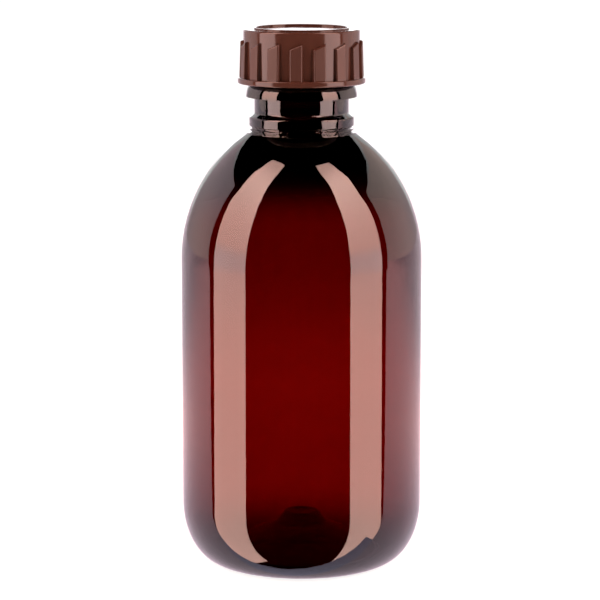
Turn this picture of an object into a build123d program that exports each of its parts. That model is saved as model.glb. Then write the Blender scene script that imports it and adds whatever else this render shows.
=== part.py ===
from build123d import *
from math import atan2, copysign, cos, degrees, radians, sin, sqrt, tau
import os

# An amber PET syrup bottle with a 28 mm screw neck, a pouring ring in its mouth, and a ribbed
# screw cap with a foam liner. Millimetres, +Z up, origin at the centre of the base.

# ---------------------------------------------------------------- bottle body
body_radius = 30.75
corner_width = 10.0  # radial half-axis of the rounded base corner
cylinder_bottom = 15.7  # top of the base corner
cylinder_top = 78.86  # foot of the shoulder
shoulder_radius = 39.9
shoulder_end_radius = 14.1

# ---------------------------------------------------------------- bottle walls
corner_wall = 0.56  # at the top of the base corner
waist_wall = 0.50  # thinnest, halfway up
waist_height = 52.0
upper_wall = 0.62  # from the top of the cylinder into the shoulder
land_wall = 1.7  # under the base corner
thick_shoulder_start = 17.0  # degrees above level where the shoulder starts to thicken
thick_shoulder_shift = 12.0  # how far the inner arc's centre moves out along that ray
bore_radius = 10.5
bore_blend = 3.0  # inside fillet between the shoulder and the neck

# ---------------------------------------------------------------- base
land_width = 1.25
land_round = 0.35
push_up_radius = 26.85  # sphere under the base
push_up_inner_radius = 25.8  # sphere inside the base
dimple_radius = 6.2  # central thick boss
dimple_height = 9.9  # underside at the centre
boss_radius = 6.6
boss_ridge_radius = 4.2  # ring-shaped ridge around the boss's top
boss_ridge_height = 13.0
boss_height = 12.3  # inside at the centre
dimple_round = 1.5
boss_round = 1.5
boss_ridge_round = 0.8
gate_radius = 1.0
gate_height = 0.9
dimple_arc_ratio = 2.0  # radius of the dimple's arc over its width

# ---------------------------------------------------------------- neck
step_top = 111.55  # a low step where the shoulder meets the neck
step_round = 0.1
groove_radius = 12.75
groove_round = 0.22
collar_radius = 13.25  # a narrow collar between the step and the support ring
collar_bottom = 111.9
collar_top = 112.45
collar_round = 0.2
ring_radius = 13.3
ring_bottom = 113.05
ring_top = 115.3
ring_bottom_round = 0.2
ring_top_round = 0.5
neck_radius = 12.0
neck_foot = 116.4
neck_fillet = 0.4
bead_radius = 14.1
bead_bottom = 120.5
bead_curve = 6.5
thread_root_radius = 12.45
mouth_height = 134.0
neck_round = 0.3
lip_round = 0.5

# ---------------------------------------------------------------- screw thread
thread_pitch = 3.18
thread_turns = 1.6
thread_fade_turns = 0.12
thread_fade_depth = 0.05  # share of the depth left where a thread fades out
thread_depth = 1.2
thread_root_width = 1.6
thread_crest_width = 0.9
thread_start = 126.6
cap_thread_depth = 1.15
cap_thread_root_width = 1.3
cap_thread_crest_width = 0.7
cap_thread_shift = 0.2  # how far the cap's thread sits above the middle of the bottle's groove
thread_embed = 0.25  # how far a ridge reaches into the wall it stands on

# ---------------------------------------------------------------- pouring ring
pour_flange_radius = 12.2
pour_flange_thickness = 0.85
pour_flange_round = 0.25
pour_skirt_depth = 8.0
pour_skirt_wall = 0.9
pour_skirt_taper = 0.35
pour_hole_radius = 6.0
pour_lip_thickness = 0.9
pour_lip_drop = 1.6
pour_lip_round = 0.4
pour_taper_height = 2.0

# ---------------------------------------------------------------- cap
cap_bottom = 123.9
cap_ledge = 137.55
cap_top = 138.0
cap_wall_radius = 14.75
cap_bore_radius = 13.9
cap_shoulder_round = 0.45
flange_radius = 16.2
flange_height = 1.5
flange_round = 0.35
mouth_chamfer = 0.35
rim_outer_radius = 12.08
rim_inner_radius = 11.55
rim_round = 0.15
recess_floor = 137.45
panel_thickness = 1.4
cap_inner_round = 0.4

rib_count = 16
rib_width = 3.0
rib_foot_radius = 15.75
rib_draft = 1.8  # degrees that its face leans in
rib_side_draft = 12.0  # degrees that its sides spread towards the wall
rib_low_top = 133.3  # at the corner that leads when the cap is screwed on
rib_high_top = 134.5
rib_round = 0.35
rib_depth = 1.3  # from its face into the cap's wall
rib_embed = 0.2  # into the flange
first_rib_angle = -5.3  # degrees from the front

# ---------------------------------------------------------------- liner
liner_radius = 13.3
liner_gap = 0.05
liner_round = 0.15
retainer_radius = 0.45  # section of the bead that holds the liner in the cap

# ---------------------------------------------------------------- worked-out sizes
corner_centre_radius = body_radius - corner_width
shoulder_centre = body_radius - shoulder_radius
shoulder_end_height = cylinder_top + sqrt(
    shoulder_radius**2 - (shoulder_end_radius - shoulder_centre) ** 2
)
land_inner_radius = corner_centre_radius - land_width
bead_centre = bead_radius - bead_curve
bead_end_height = bead_bottom + sqrt(bead_curve**2 - (thread_root_radius - bead_centre) ** 2)
flange_top = cap_bottom + flange_height
panel_underside = recess_floor - panel_thickness
pour_top = mouth_height + pour_flange_thickness
liner_bottom = pour_top
liner_top = panel_underside - liner_gap

# The inside of the shoulder runs parallel to the outside, then bends in on a tighter arc.
inner_shoulder_radius = shoulder_radius - upper_wall
bend_angle = radians(thick_shoulder_start)
bend_radius = inner_shoulder_radius - thick_shoulder_shift
bend_centre = (
    shoulder_centre + thick_shoulder_shift * cos(bend_angle),
    cylinder_top + thick_shoulder_shift * sin(bend_angle),
)
bend_end_height = bend_centre[1] + sqrt(bend_radius**2 - (bore_radius - bend_centre[0]) ** 2)
bend_end_angle = degrees(atan2(bend_end_height - bend_centre[1], bore_radius - bend_centre[0]))


def screw_thread(root_radius, depth, root_width, crest_width, start_height):
    """A right-hand screw thread that fades out at both ends. A negative depth points inwards."""
    embed = -copysign(thread_embed, depth)
    fade = thread_fade_turns / thread_turns
    stations = [(0, thread_fade_depth), (fade, 1), (1 - fade, 1), (1, thread_fade_depth)]
    with BuildPart() as ridge:
        with BuildLine() as route:
            Helix(thread_pitch, thread_pitch * thread_turns, root_radius, (0, 0, start_height))
        helix = route.edges()[0]
        for first, last in zip(stations, stations[1:]):
            for place, share in (first, last):
                turn = tau * thread_turns * place
                outwards = (cos(turn), sin(turn), 0)
                crest = root_width + (crest_width - root_width) * share
                with BuildSketch(Plane(helix @ place, x_dir=outwards, z_dir=helix % place)):
                    with BuildLine():
                        Polyline(
                            (embed, -root_width / 2),
                            (depth * share, -crest / 2),
                            (depth * share, crest / 2),
                            (embed, root_width / 2),
                            close=True,
                        )
                    make_face()
            sweep(path=helix.trim(first[0], last[0]), multisection=True, is_frenet=True)
    return ridge.part


def round_corners(section, corners):
    """Fillet the section's corners, given as point: radius."""
    for point, radius in corners.items():
        fillet(section.vertices().sort_by_distance(point)[0], radius)


# ---------------------------------------------------------------- bottle
with BuildPart() as bottle:
    with BuildSketch(Plane.XZ) as bottle_section:
        with BuildLine():
            # underside: gate mark, central dimple, push-up and contact land
            gate_bottom = dimple_height - gate_height
            gate_edge = (gate_radius, dimple_height)
            push_up_edge = (
                dimple_radius,
                sqrt(push_up_radius**2 - dimple_radius**2)
                - sqrt(push_up_radius**2 - land_inner_radius**2),
            )
            Polyline((0, gate_bottom), (gate_radius, gate_bottom), gate_edge)
            RadiusArc(gate_edge, push_up_edge, push_up_edge[0] * dimple_arc_ratio)
            RadiusArc(push_up_edge, (land_inner_radius, 0), push_up_radius)
            Line((land_inner_radius, 0), (corner_centre_radius, 0))
            # outside: base corner, cylinder and shoulder
            EllipticalCenterArc(
                (corner_centre_radius, cylinder_bottom),
                corner_width,
                cylinder_bottom,
                start_angle=-90,
                arc_size=90,
            )
            Line((body_radius, cylinder_bottom), (body_radius, cylinder_top))
            CenterArc(
                (shoulder_centre, cylinder_top),
                shoulder_radius,
                0,
                degrees(
                    atan2(
                        shoulder_end_height - cylinder_top,
                        shoulder_end_radius - shoulder_centre,
                    )
                ),
            )
            # neck: step, collar and support ring with grooves between, plain neck, bead and mouth
            Polyline(
                (shoulder_end_radius, shoulder_end_height),
                (shoulder_end_radius, step_top),
                (groove_radius, step_top),
                (groove_radius, collar_bottom),
                (collar_radius, collar_bottom),
                (collar_radius, collar_top),
                (groove_radius, collar_top),
                (groove_radius, ring_bottom),
                (ring_radius, ring_bottom),
                (ring_radius, ring_top),
                (neck_radius, neck_foot),
                (neck_radius, bead_bottom),
                (bead_radius, bead_bottom),
            )
            CenterArc(
                (bead_centre, bead_bottom),
                bead_curve,
                0,
                degrees(atan2(bead_end_height - bead_bottom, thread_root_radius - bead_centre)),
            )
            Polyline(
                (thread_root_radius, bead_end_height),
                (thread_root_radius, mouth_height),
                (bore_radius, mouth_height),
                (bore_radius, bend_end_height),
            )
            # inside: shoulder, wall, base corner, push-up and central boss
            CenterArc(bend_centre, bend_radius, bend_end_angle, thick_shoulder_start - bend_end_angle)
            CenterArc(
                (shoulder_centre, cylinder_top),
                inner_shoulder_radius,
                thick_shoulder_start,
                -thick_shoulder_start,
            )
            Polyline(
                (body_radius - upper_wall, cylinder_top),
                (body_radius - waist_wall, waist_height),
                (body_radius - corner_wall, cylinder_bottom),
            )
            EllipticalCenterArc(
                (corner_centre_radius, cylinder_bottom),
                corner_width - corner_wall,
                cylinder_bottom - land_wall,
                start_angle=0,
                arc_size=-90,
            )
            boss_edge = (
                boss_radius,
                land_wall
                + sqrt(push_up_inner_radius**2 - boss_radius**2)
                - sqrt(push_up_inner_radius**2 - land_inner_radius**2),
            )
            Line((corner_centre_radius, land_wall), (land_inner_radius, land_wall))
            RadiusArc((land_inner_radius, land_wall), boss_edge, -push_up_inner_radius)
            boss_ridge = (boss_ridge_radius, boss_ridge_height)
            boss_dip = boss_ridge_height - boss_height
            boss_sphere = (boss_ridge_radius**2 + boss_dip**2) / (2 * boss_dip)
            Line(boss_edge, boss_ridge)
            RadiusArc(boss_ridge, (0, boss_height), boss_sphere)
            Line((0, boss_height), (0, gate_bottom))
        make_face()
        round_corners(
            bottle_section,
            {
                (land_inner_radius, 0): land_round,
                (shoulder_end_radius, step_top): step_round,
                (collar_radius, collar_bottom): collar_round,
                (collar_radius, collar_top): collar_round,
                (groove_radius, collar_top): groove_round,
                (groove_radius, ring_bottom): groove_round,
                (ring_radius, ring_bottom): ring_bottom_round,
                (ring_radius, ring_top): ring_top_round,
                (neck_radius, neck_foot): neck_fillet,
                (neck_radius, bead_bottom): neck_fillet,
                (neck_radius, bead_bottom): neck_round,
                (thread_root_radius, mouth_height): lip_round,
                (bore_radius, bend_end_height): bore_blend,
                push_up_edge: dimple_round,
                boss_edge: boss_round,
                boss_ridge: boss_ridge_round,
            },
        )
    revolve(axis=Axis.Z)
    add(
        screw_thread(
            thread_root_radius, thread_depth, thread_root_width, thread_crest_width, thread_start
        )
    )
bottle.part.label = "bottle"

# ---------------------------------------------------------------- pouring ring
with BuildPart() as pour_ring:
    with BuildSketch(Plane.XZ) as pour_section:
        skirt_bottom = mouth_height - pour_skirt_depth
        skirt_inner = bore_radius - pour_skirt_wall
        lip_underside = mouth_height - pour_lip_drop - pour_lip_thickness
        with BuildLine():
            Polyline(
                (pour_hole_radius, mouth_height - pour_lip_drop),
                (pour_hole_radius, lip_underside),
                (skirt_inner, lip_underside),
                (skirt_inner, skirt_bottom),
                (bore_radius - pour_skirt_taper, skirt_bottom),
                (bore_radius, skirt_bottom + pour_taper_height),
                (bore_radius, mouth_height),
                (pour_flange_radius, mouth_height),
                (pour_flange_radius, pour_top),
                (skirt_inner, pour_top),
                close=True,
            )
        make_face()
        round_corners(
            pour_section,
            {
                (pour_flange_radius, pour_top): pour_flange_round,
                (skirt_inner, pour_top): pour_flange_round,
                (pour_hole_radius, mouth_height - pour_lip_drop): pour_lip_round,
                (pour_hole_radius, lip_underside): pour_lip_round,
            },
        )
    revolve(axis=Axis.Z)
pour_ring.part.label = "pour_ring"

# ---------------------------------------------------------------- liner
with BuildPart() as liner:
    with BuildSketch(Plane.XY.offset(liner_bottom)):
        Circle(liner_radius)
    extrude(amount=liner_top - liner_bottom)
    fillet(liner.edges(), liner_round)
liner.part.label = "liner"

# ---------------------------------------------------------------- cap
# One grip rib, seen face on from outside: x to the right, y up. Its top slants up to the right.
rib_face = Plane(
    origin=(0, -rib_foot_radius, flange_top),
    x_dir=(1, 0, 0),
    z_dir=(0, -cos(radians(rib_draft)), sin(radians(rib_draft))),
)
with BuildPart() as rib:
    with BuildSketch(rib_face):
        with BuildLine():
            Polyline(
                (-rib_width / 2, -rib_embed),
                (rib_width / 2, -rib_embed),
                (rib_width / 2, rib_high_top - flange_top),
                (-rib_width / 2, rib_low_top - flange_top),
                close=True,
            )
        make_face()
    extrude(amount=-rib_depth, taper=-rib_side_draft)
    outer_face = rib.faces().sort_by(Axis.Y)[0]
    fillet(outer_face.edges().group_by(Axis.Z)[1:], rib_round)

with BuildPart() as cap:
    with BuildSketch(Plane.XZ) as cap_section:
        with BuildLine():
            Polyline(
                (cap_bore_radius, cap_bottom),
                (flange_radius, cap_bottom),
                (flange_radius, flange_top),
                (cap_wall_radius, flange_top),
                (cap_wall_radius, cap_ledge),
                (rim_outer_radius, cap_ledge),
                (rim_outer_radius, cap_top),
                (rim_inner_radius, cap_top),
                (rim_inner_radius, recess_floor),
                (0, recess_floor),
                (0, panel_underside),
                (cap_bore_radius, panel_underside),
                close=True,
            )
        make_face()
        with Locations((cap_bore_radius, liner_bottom - liner_gap - retainer_radius)):
            Circle(retainer_radius)
        round_corners(
            cap_section,
            {
                (flange_radius, cap_bottom): flange_round,
                (flange_radius, flange_top): flange_round,
                (cap_wall_radius, cap_ledge): cap_shoulder_round,
                (rim_outer_radius, cap_top): rim_round,
                (rim_inner_radius, cap_top): rim_round,
                (cap_bore_radius, panel_underside): cap_inner_round,
            },
        )
        chamfer(
            cap_section.vertices().sort_by_distance((cap_bore_radius, cap_bottom))[0],
            mouth_chamfer,
        )
    revolve(axis=Axis.Z)
    with PolarLocations(0, rib_count, start_angle=first_rib_angle):
        add(rib.part)
    add(
        screw_thread(
            cap_bore_radius,
            -cap_thread_depth,
            cap_thread_root_width,
            cap_thread_crest_width,
            thread_start - thread_pitch / 2 + cap_thread_shift,
        )
    )
cap.part.label = "cap"

# ---------------------------------------------------------------- files
os.makedirs("parts", exist_ok=True)
for piece in (bottle, pour_ring, liner, cap):
    print(piece.part.label, piece.part.is_valid, round(piece.part.volume, 1), "mm3")
    export_step(piece.part, f"parts/{piece.part.label}.step")
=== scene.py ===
"""Looks, light and camera of the amber medicine bottle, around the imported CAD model. Metres."""
from math import cos, radians, sin

import bpy
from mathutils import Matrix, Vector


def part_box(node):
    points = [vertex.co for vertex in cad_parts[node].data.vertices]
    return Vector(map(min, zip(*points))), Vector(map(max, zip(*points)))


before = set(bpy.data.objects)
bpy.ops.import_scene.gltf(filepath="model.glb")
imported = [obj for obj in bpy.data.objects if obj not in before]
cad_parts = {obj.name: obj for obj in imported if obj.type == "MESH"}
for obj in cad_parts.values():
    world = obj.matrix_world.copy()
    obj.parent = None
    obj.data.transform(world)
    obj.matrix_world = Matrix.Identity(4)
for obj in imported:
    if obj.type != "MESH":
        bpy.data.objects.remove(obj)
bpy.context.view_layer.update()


# Small helpers

def colour(red, green, blue):
    """Four numbers from the three parts of a linear colour."""
    return (red, green, blue, 1.0)


white = colour(1.0, 1.0, 1.0)
black = colour(0.0, 0.0, 0.0)


class Shading:
    """A new material with an empty node tree, and short calls that fill it."""

    def __init__(self, name):
        self.material = bpy.data.materials.new(name)
        self.material.use_nodes = True
        self.nodes = self.material.node_tree.nodes
        self.links = self.material.node_tree.links
        self.nodes.clear()
        self.output = self.nodes.new("ShaderNodeOutputMaterial")

    def feed(self, socket, value):
        """Set the socket to a number or colour, or link it to the socket that feeds it."""
        if isinstance(value, bpy.types.NodeSocket):
            self.links.new(value, socket)
        else:
            socket.default_value = value

    def add(self, kind, settings=None, **inputs):
        """A node of this kind. Inputs are numbers, colours or the sockets that feed them."""
        node = self.nodes.new("ShaderNode" + kind)
        for name, value in (settings or {}).items():
            setattr(node, name, value)
        for name, value in inputs.items():
            self.feed(node.inputs[name.replace("_", " ")], value)
        return node

    def position(self):
        """A point's place in the shared frame at rest, because every object's origin is the frame's."""
        return self.add("TexCoord").outputs["Object"]

    def axes(self):
        """The position's coordinates, as outputs named X, Y and Z."""
        return self.add("SeparateXYZ", Vector=self.position()).outputs

    def height(self):
        """A point's height above the floor."""
        return self.axes()["Z"]

    def stretched(self, x, y, z):
        """The position, with each axis scaled, so that a pattern runs longer along one of them."""
        return self.add("Mapping", Vector=self.position(), Scale=(x, y, z)).outputs["Vector"]

    def noise(self, size, detail=3.0, roughness=0.5, distortion=0.0, vector=None):
        """Noise whose blotches are about this size, from 0 to 1."""
        return self.add("TexNoise", Vector=vector or self.position(), Scale=1 / size, Detail=detail,
                        Roughness=roughness, Distortion=distortion).outputs["Fac"]

    def remap(self, value, low, high, to_low=0.0, to_high=1.0):
        """The value moved smoothly from one range to another, and kept inside it."""
        node = self.add("MapRange", {"interpolation_type": "SMOOTHSTEP"}, Value=value,
                        From_Min=low, From_Max=high, To_Min=to_low, To_Max=to_high)
        return node.outputs["Result"]

    def calculate(self, kind, operation, values, output):
        """One output of a node that calculates with these values."""
        node = self.add(kind, {"operation": operation})
        for socket, value in zip(node.inputs, values):
            self.feed(socket, value)
        return node.outputs[output]

    def math(self, operation, *numbers):
        """The result of a calculation with numbers."""
        return self.calculate("Math", operation, numbers, "Value")

    def vector_math(self, operation, *vectors, output="Vector"):
        """The result of a calculation with vectors. Its output is "Value" where that is a number."""
        return self.calculate("VectorMath", operation, vectors, output)

    def blend(self, share, first, second):
        """The second colour over the first, by this share."""
        node = self.add("Mix", {"data_type": "RGBA"}, Factor=share)
        colour_inputs = [socket for socket in node.inputs if socket.type == "RGBA"]
        for socket, value in zip(colour_inputs, (first, second)):
            self.feed(socket, value)
        [colour_output] = [socket for socket in node.outputs if socket.type == "RGBA"]
        return colour_output

    def ramp(self, value, first_stop, last_stop):
        """A colour blended along a value, from one stop to another. A stop is (place, colour)."""
        node = self.add("ValToRGB", Fac=value)
        for element, (place, tone) in zip(node.color_ramp.elements, (first_stop, last_stop)):
            element.position = place
            element.color = tone
        return node.outputs["Color"]

    def bump(self, height, depth, under=None):
        """A relief as deep as this, over another relief if one is given."""
        node = self.add("Bump", Height=height, Distance=depth)
        if under is not None:
            self.links.new(under, node.inputs["Normal"])
        return node.outputs["Normal"]

    def finish(self, surface, volume=None):
        """The material, with these nodes as its surface and what fills it."""
        self.links.new(surface.outputs[0], self.output.inputs["Surface"])
        if volume is not None:
            self.links.new(volume.outputs[0], self.output.inputs["Volume"])
        return self.material


# Materials

def amber_pet():
    """Clear, brown-tinted PET. Its colour is absorbed in the wall, so thick plastic looks black."""
    shade = Shading("amber_pet")
    waviness = shade.noise(0.016, detail=1.0, vector=shade.stretched(1.0, 1.0, 0.35))
    skin = shade.noise(0.0011, detail=2.0)
    relief = shade.bump(skin, 0.2e-6, under=shade.bump(waviness, 4e-6))
    handling = shade.remap(shade.noise(0.009, detail=6.0, roughness=0.7), 0.45, 0.75, 0.004, 0.03)
    scuffed_height = 0.0012  # the land that the bottle stands on is scuffed
    standing = shade.remap(shade.height(), 0.0, scuffed_height, 0.25, 0.0)
    surface = shade.add("BsdfPrincipled", Base_Color=white, Transmission_Weight=1.0, IOR=1.57,
                        Roughness=shade.math("ADD", handling, standing), Normal=relief)
    tint = shade.add("VolumeAbsorption", Color=colour(0.722, 0.09, 0.0), Density=8000.0)
    return shade.finish(surface, tint)


def rib_faces(shade):
    """1 on the outer faces of the cap's grip ribs and 0 elsewhere."""
    flange_height = 0.0015
    wall_radius = 0.01475
    flange_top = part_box("cap")[0][2] + flange_height
    outwards = shade.vector_math("MULTIPLY", shade.position(), (1.0, 1.0, 0.0))
    radius = shade.vector_math("LENGTH", outwards, output="Value")
    facing = shade.vector_math("DOT_PRODUCT", shade.vector_math("NORMALIZE", outwards),
                               shade.add("TexCoord").outputs["Normal"], output="Value")
    over_flange = shade.remap(shade.height(), flange_top + 0.0001, flange_top + 0.0003)
    off_wall = shade.remap(radius, wall_radius + 0.00035, wall_radius + 0.00065)
    raised = shade.math("MULTIPLY", over_flange, off_wall)
    return shade.math("MULTIPLY", raised, shade.remap(facing, 0.97, 0.99))


def brown_cap():
    """Glossy brown polypropylene with faint flow marks, a fine moulded skin and matt rib faces."""
    shade = Shading("brown_cap")
    flow = shade.noise(0.006, detail=4.0, distortion=1.2, vector=shade.stretched(1.0, 1.0, 0.4))
    tone = shade.ramp(flow, (0.25, colour(0.045, 0.0185, 0.0127)), (0.75, colour(0.057, 0.0235, 0.0162)))
    skin = shade.noise(0.00035, detail=2.0)
    ripple = shade.noise(0.004, detail=2.0)
    relief = shade.bump(skin, 1.5e-6, under=shade.bump(ripple, 8e-6))
    polish = shade.remap(shade.noise(0.003, detail=5.0), 0.3, 0.7, 0.08, 0.14)
    rib_roughness = shade.math("MULTIPLY", rib_faces(shade), 0.30)
    surface = shade.add("BsdfPrincipled", Base_Color=tone, Roughness=shade.math("ADD", polish, rib_roughness),
                        IOR=1.42, Normal=relief)
    return shade.finish(surface)


def liner_foam():
    """Off-white foamed polyethylene with small closed cells."""
    shade = Shading("liner_foam")
    cell_size = 0.0005
    cells = shade.add("TexVoronoi", Vector=shade.position(), Scale=1 / cell_size).outputs["Distance"]
    mottling = shade.noise(0.002, detail=4.0)
    tone = shade.ramp(mottling, (0.3, colour(0.74, 0.73, 0.69)), (0.7, colour(0.84, 0.83, 0.80)))
    surface = shade.add("BsdfPrincipled", Base_Color=tone, Roughness=0.7, Subsurface_Weight=0.2,
                        Subsurface_Scale=0.001, Normal=shade.bump(cells, 6e-5))
    return shade.finish(surface)


def ring_plastic():
    """Milky low-density polyethylene."""
    shade = Shading("ring_plastic")
    mottling = shade.noise(0.003, detail=3.0)
    tone = shade.ramp(mottling, (0.3, colour(0.76, 0.77, 0.75)), (0.7, colour(0.84, 0.85, 0.84)))
    roughness = shade.remap(mottling, 0.3, 0.7, 0.30, 0.42)
    relief = shade.bump(shade.noise(0.0006), 2e-6)
    surface = shade.add("BsdfPrincipled", Base_Color=tone, Roughness=roughness, IOR=1.51,
                        Subsurface_Weight=0.35, Subsurface_Scale=0.002, Normal=relief)
    return shade.finish(surface)


def paint(node_name, material):
    """The node shows this material all over."""
    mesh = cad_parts[node_name].data
    mesh.materials.clear()
    mesh.materials.append(material)


paint("bottle", amber_pet())
paint("cap", brown_cap())
paint("liner", liner_foam())
paint("pour_ring", ring_plastic())


# Studio

# The kinds of ray that a piece can be seen by, and the ones that most stage pieces are seen by.
all_rays = ("camera", "diffuse", "glossy", "transmission", "shadow", "volume_scatter")
bounced_rays = ("diffuse", "glossy")
reflections = ("glossy",)


def around(azimuth, distance, height):
    """A place around the bottle. Azimuth 0 is the camera's side and 90 is its right."""
    angle = radians(azimuth)
    return (distance * sin(angle), -distance * cos(angle), height)


def panel(name, corners, material, seen_by, faces=None):
    """A flat or folded stage piece that only the named kinds of ray meet."""
    mesh = bpy.data.meshes.new(name)
    mesh.from_pydata(corners, [], faces or [range(len(corners))])
    mesh.materials.append(material)
    piece = bpy.data.objects.new(name, mesh)
    bpy.context.scene.collection.objects.link(piece)
    for kind in all_rays:
        setattr(piece, "visible_" + kind, kind in seen_by)


def level(name, height, outline, material, seen_by):
    """A flat stage piece at this height with this outline."""
    panel(name, [(x, y, height) for x, y in outline], material, seen_by)


def cloth(name, tone):
    """Matt cloth of one colour."""
    shade = Shading(name)
    return shade.finish(shade.add("BsdfDiffuse", Color=tone))


def glow(name, tone, strength=1.0):
    """An even light of one colour."""
    shade = Shading(name)
    return shade.finish(shade.add("Emission", Color=tone, Strength=strength))


def softbox_light(name):
    """Warm white, strongest near the inner edge and two thirds of the way up, with a cooler band
    level with the middle of the bottle."""
    shade = Shading(name)
    place = shade.axes()
    inwards = shade.remap(place["Y"], 0.05, -0.40)
    warm = shade.ramp(inwards, (0.0, colour(6.8, 3.9, 3.3)), (1.0, colour(7.7, 4.6, 3.9)))
    band_height = 0.068
    off_band = shade.math("ABSOLUTE", shade.math("SUBTRACT", place["Z"], band_height))
    in_band = shade.remap(off_band, 0.02, 0.11, 1.0, 0.0)
    tone = shade.blend(in_band, warm, colour(5.9, 4.15, 3.9))
    rise = shade.remap(place["Z"], 0.1, 0.8, 1.0, 1.5)
    fall = shade.remap(place["Z"], 0.8, 1.5, 0.0, 0.55)
    return shade.finish(shade.add("Emission", Color=tone, Strength=shade.math("SUBTRACT", rise, fall)))


def pale_wall_light(name, tint):
    """Pinkish white, dimmer towards the back, most of all low down, and tinted higher up."""
    shade = Shading(name)
    place = shade.axes()
    back = shade.remap(place["Y"], 0.3, 1.3)
    back_tint = [0.72 * part for part in tint]
    low = shade.ramp(back, (0.0, colour(1.7, 1.30, 1.25)), (1.0, colour(0.7, 0.58, 0.60)))
    high = shade.ramp(back, (0.0, colour(*tint)), (1.0, colour(*back_tint)))
    tone = shade.blend(shade.remap(place["Z"], 0.15, 0.7), low, high)
    return shade.finish(shade.add("Emission", Color=tone, Strength=1.0))


def table_light(name):
    """What the bottle reflects of the lit table: a little bluish close by, pink further out, and
    dimmer behind the bottle."""
    shade = Shading(name)
    distance = shade.vector_math("LENGTH", shade.position(), output="Value")
    outwards = shade.remap(distance, 0.06, 0.22)
    beside = shade.ramp(outwards, (0.0, colour(1.2, 0.95, 1.10)), (1.0, colour(2.4, 1.42, 1.47)))
    back = shade.remap(shade.axes()["Y"], 0.0, 0.33)
    tone = shade.blend(back, beside, colour(1.0, 0.82, 0.91))
    return shade.finish(shade.add("Emission", Color=tone, Strength=1.0))


def lit_floor():
    """A white table lit from inside, which still takes a little light and shade."""
    shade = Shading("pale_floor")
    glowing = shade.add("Emission", Color=white, Strength=0.86)
    pale = shade.add("BsdfDiffuse", Color=colour(0.5, 0.5, 0.5))
    both = shade.add("AddShader")
    for socket, part in zip(both.inputs, (glowing, pale)):
        shade.links.new(part.outputs[0], socket)
    return shade.finish(both)


# Softboxes on both sides of the camera. A corner is (azimuth, height), from the outer edge round
# to the inner edge.
softbox_distance = 0.62
softbox_bottom = -1.1
softboxes = {
    "softbox_left": ((-93.5, softbox_bottom), (-86.0, 1.50), (-50.6, 1.91), (-55.1, softbox_bottom)),
    "softbox_right": ((83.3, softbox_bottom), (77.5, 1.52), (42.4, 1.95), (48.0, softbox_bottom)),
}
for name, corners in softboxes.items():
    places = [around(azimuth, softbox_distance, height) for azimuth, height in corners]
    panel(name, places, softbox_light(name), bounced_rays)

# Black cloth hangs behind the softboxes and the camera, and over everything.
black_cloth = cloth("black_cloth", black)
ceiling_height = 2.2
pit_depth = -1.3
wall_line = [(-0.765, 0.100), (-0.80, -0.50), (-0.50, -1.05), (0.50, -1.05), (0.80, -0.50), (0.771, -0.032)]
wall_corners = [(x, y, z) for z in (pit_depth, ceiling_height) for x, y in wall_line]
wall_faces = [(i, i + 1, i + 1 + len(wall_line), i + len(wall_line)) for i in range(len(wall_line) - 1)]
panel("black_walls", wall_corners, black_cloth, bounced_rays, wall_faces)
level("black_pit", pit_depth, wall_line, black_cloth, bounced_rays)
ceiling_line = [(-3.46, -1.2), (3.43, -1.2), (0.52, 6.0), (-0.98, 6.0)]
level("black_ceiling", ceiling_height, ceiling_line, black_cloth, bounced_rays)

# Pale walls stand on both sides of the back. A wall has the azimuth it faces, the azimuths of its
# two ends, its height at each end, and its tint higher up.
wall_distance = 1.2
wall_foot = -0.1
pale_walls = {
    "pale_wall_left": (-109.0, -92.0, -155.0, 1.00, 0.875, (1.55, 1.19, 1.28)),
    "pale_wall_right": (112.0, 84.0, 155.0, 1.04, 0.90, (1.58, 1.22, 1.12)),
}
for name, (facing, first, last, first_top, last_top, tint) in pale_walls.items():
    corners = ((first, wall_foot), (first, first_top), (last, last_top), (last, wall_foot))
    places = [
        around(azimuth, wall_distance / cos(radians(azimuth - facing)), height)
        for azimuth, height in corners
    ]
    panel(name, places, pale_wall_light(name, tint), reflections)

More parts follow.
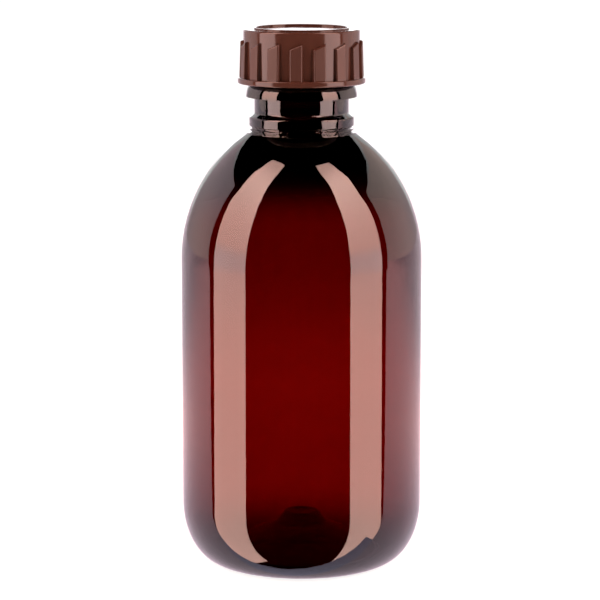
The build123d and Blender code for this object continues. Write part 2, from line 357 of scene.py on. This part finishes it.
# A bright backdrop stands between the pale walls.
backdrop_reach = 0.5
backdrop_distance = 1.9
backdrop_foot = 0.16
backdrop_top = 0.52
backdrop_corners = [
    (-backdrop_reach, backdrop_distance, backdrop_foot),
    (backdrop_reach, backdrop_distance, backdrop_foot),
    (backdrop_reach, backdrop_distance, backdrop_top),
    (-backdrop_reach, backdrop_distance, backdrop_top),
]
panel("backdrop", backdrop_corners, glow("backdrop", colour(1.0, 0.97, 1.0), 2.8), reflections)

# The floor is a lit white table, seen by everything but reflections.
floor_reach = 6.0
front_left = (-floor_reach, -floor_reach)
front_right = (floor_reach, -floor_reach)
back_right = (floor_reach, floor_reach)
back_left = (-floor_reach, floor_reach)
not_reflections = [kind for kind in all_rays if kind not in reflections]
level("floor", 0.0, [front_left, front_right, back_right, back_left], lit_floor(), not_reflections)

# Reflections see a table that ends just in front of the bottle in a narrow, slightly bluish lip.
lip_start = (-0.049, -0.0207)
lip_corner = (0.037, -0.0338)
lip_back = (0.036, -0.0277)
slope_left = -0.15  # of the table's front edge, from the lip to each side
slope_right = -0.02
edge_left = (-floor_reach, lip_start[1] + slope_left * (-floor_reach - lip_start[0]))
edge_right = (floor_reach, lip_back[1] + slope_right * (floor_reach - lip_back[0]))
table_outline = [edge_left, lip_start, lip_back, edge_right, back_right, back_left]
level("reflected_table", 0.0, table_outline, table_light("reflected_table"), reflections)
lip_light = glow("reflected_lip", colour(1.02, 0.93, 1.25))
level("reflected_lip", 0.0, [lip_start, lip_corner, lip_back], lip_light, reflections)

world = bpy.data.worlds.new("white_studio")
world.use_nodes = True
background = world.node_tree.nodes["Background"]
background.inputs["Color"].default_value = white
background.inputs["Strength"].default_value = 1.1
scene = bpy.context.scene
scene.world = world
scene.view_settings.view_transform = "Standard"
scene.cycles.max_bounces = 24
scene.cycles.transmission_bounces = 24
scene.cycles.glossy_bounces = 8


# Camera

camera_side = -0.0004
camera_distance = 0.706
camera_height = 0.1858
camera_tilt = 9.47  # degrees below level
camera_data = bpy.data.cameras.new("camera")
camera_data.lens = 167.16
camera_data.sensor_width = 36.0
camera = bpy.data.objects.new("camera", camera_data)
camera.location = (camera_side, -camera_distance, camera_height)
camera.rotation_euler = (radians(90.0 - camera_tilt), 0.0, 0.0)
scene.collection.objects.link(camera)
scene.camera = camera
